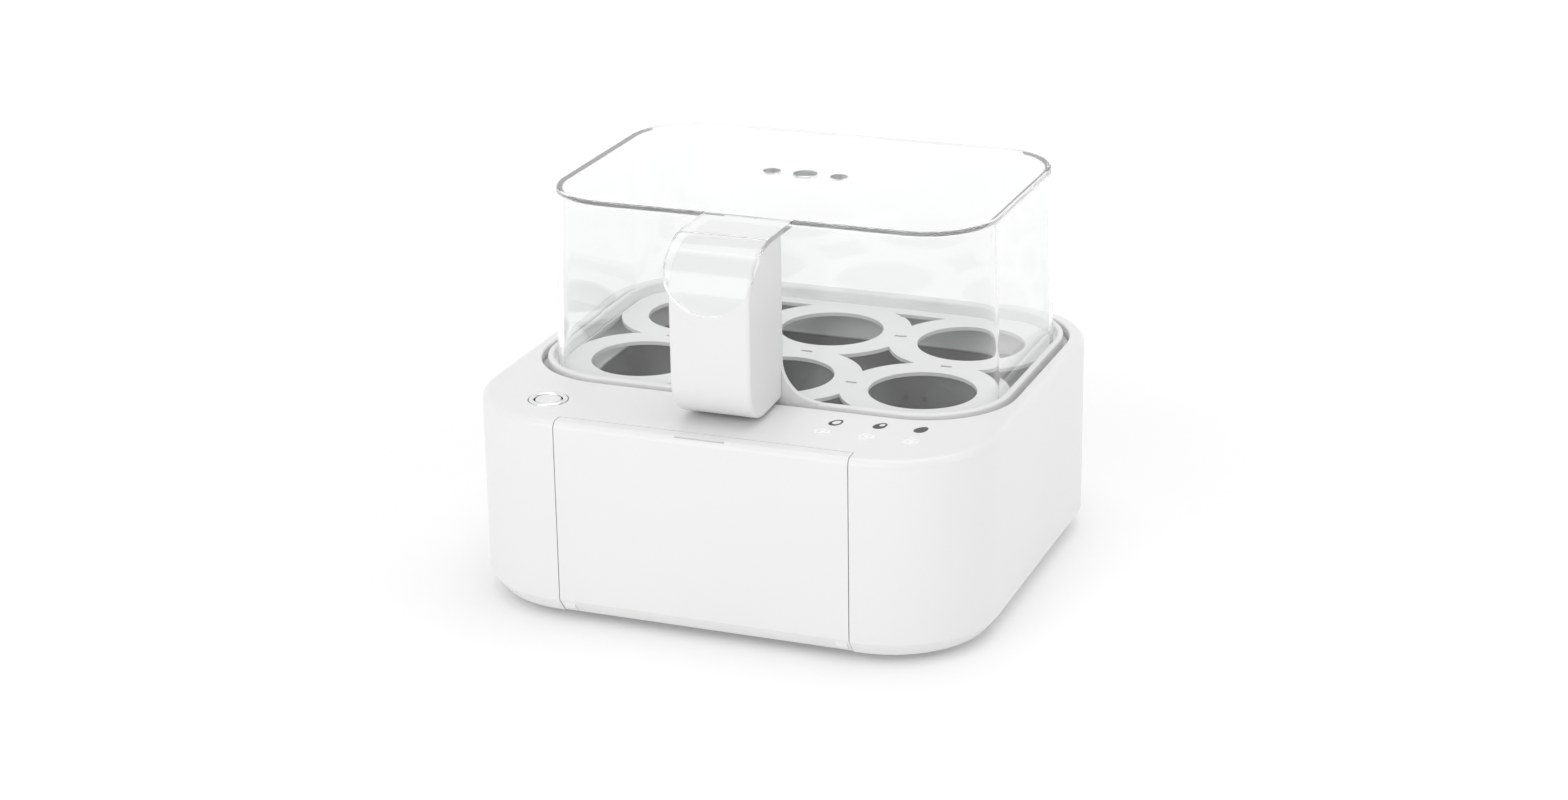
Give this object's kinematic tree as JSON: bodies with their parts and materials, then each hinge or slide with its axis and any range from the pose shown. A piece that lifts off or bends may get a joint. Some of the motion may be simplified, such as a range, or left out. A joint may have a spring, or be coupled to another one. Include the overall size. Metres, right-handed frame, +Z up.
{
  "type": "egg cooker",
  "caption": "Electric egg cooker: rounded base with push button, indicator lights and tilting front door, heated water pan, lift-out egg tray with handle, clear lid with grip tab.",
  "frame": {"origin": "centre of the base's footprint, on the surface that the feet stand on", "axes": "+Z up, the front door and controls face -Y, +X to the right of someone who faces the door"},
  "size_m": [0.177, 0.1634, 0.1302],
  "materials": {
    "white_shell": "satin moulded white",
    "tray_white": "fine satin white",
    "clear_plastic": "clear, polished",
    "lens": "milky light pipe",
    "grey_plastic": "fine texture",
    "black_plastic": "satin",
    "rubber": "matt",
    "silicone": "soft matt",
    "coated_pan": "non-stick coating, slightly rough",
    "steel": "plain",
    "chrome": "polished",
    "aluminium": "plain sheet",
    "ceramic": "unglazed",
    "board": "solder mask"
  },
  "bodies": {
    "base": {"base_shell": "white_shell", "bottom_cover": "grey_plastic", "foot_front_left": "rubber", "cover_screw_front_left": "steel", "foot_rear_left": "rubber", "cover_screw_rear_left": "steel", "foot_front_right": "rubber", "cover_screw_front_right": "steel", "foot_rear_right": "rubber", "cover_screw_rear_right": "steel", "cord_gland": "rubber", "water_pan": "coated_pan", "pan_seal": "silicone", "pan_retainer": "steel", "retainer_screw_left": "steel", "retainer_screw_right": "steel", "heat_spreader": "aluminium", "heating_tube": "steel", "heater_bush_left": "ceramic", "heater_bush_right": "ceramic", "thermostat": "black_plastic", "thermostat_strap": "steel", "thermal_fuse": "ceramic", "power_board": "board", "relay": "black_plastic", "capacitor": "black_plastic", "terminal_block": "ceramic", "control_board": "board", "button_ring": "chrome", "button_switch": "black_plastic", "light_pipe_soft": "lens", "lamp_soft": "lens", "light_pipe_medium": "lens", "lamp_medium": "lens", "light_pipe_hard": "lens", "lamp_hard": "lens", "speaker": "black_plastic", "storage_liner": "tray_white", "door_magnet": "black_plastic", "hinge_pin_left": "steel", "hinge_pin_right": "steel", "measuring_cup": "clear_plastic", "piercing_needle": "steel"},
    "door": {"door_panel": "white_shell", "door_strike": "steel"},
    "tray": {"egg_tray": "tray_white", "handle_cover": "tray_white"},
    "lid": {"lid": "clear_plastic"},
    "button": {"push_button": "white_shell", "switch_plunger": "grey_plastic"}
  },
  "joints": [
    {"name": "door_tilt", "type": "hinge", "parent": "base", "child": "door", "pos_m": [0, -0.0767, 0.0066], "axis": [1, 0, 0], "range_deg": [0, 80]},
    {"name": "tray_lift", "type": "slide", "parent": "base", "child": "tray", "axis": [0, 0, 1], "range_m": [0, 0.1]},
    {"name": "lid_lift", "type": "slide", "parent": "tray", "child": "lid", "axis": [0, 0, 1], "range_m": [0, 0.12]},
    {"name": "button_press", "type": "slide", "parent": "base", "child": "button", "axis": [0, 0, -1], "range_m": [0, 0.001], "stiffness_N_per_m": 600, "springref_m": -0.0005}
  ]
}
